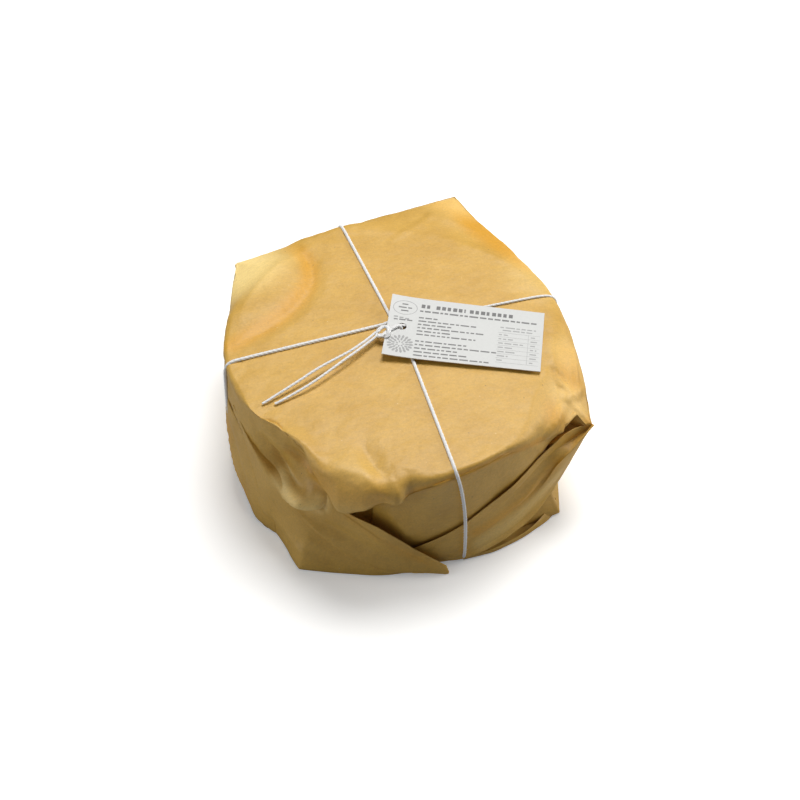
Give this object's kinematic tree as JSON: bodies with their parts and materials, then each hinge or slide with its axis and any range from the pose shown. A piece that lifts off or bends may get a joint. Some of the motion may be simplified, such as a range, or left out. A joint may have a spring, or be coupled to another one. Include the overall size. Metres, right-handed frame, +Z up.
{
  "type": "pecorino wheel in kraft paper",
  "caption": "Whole round pecorino wheel shut in folded kraft paper, tied crosswise with twine, with a punched card tag on the knot.",
  "frame": {"origin": "middle of the parcel's underside, on the surface that it rests on", "axes": "+Z up, the wheel's axis; -Y towards the end that is folded shut under the tag's lower edge, +Y towards the other folded end; +X towards the right seen from the front"},
  "size_m": [0.1994, 0.2182, 0.0911],
  "materials": {
    "kraft_paper": "matt golden kraft paper with a fine grain, small fibres and specks, creased at its folds",
    "cotton_twine": "undyed twisted cotton twine, cream, matt and slightly hairy",
    "tag_card": "smooth white card, printed in grey with plain bars, rules and rings",
    "tag_print": "matt grey printing ink"
  },
  "bodies": {
    "root": {"wrapper": "kraft_paper", "twine": "cotton_twine", "tag": "tag_card", "twine_tail_a": "cotton_twine", "twine_tail_b": "cotton_twine"}
  },
  "joints": []
}
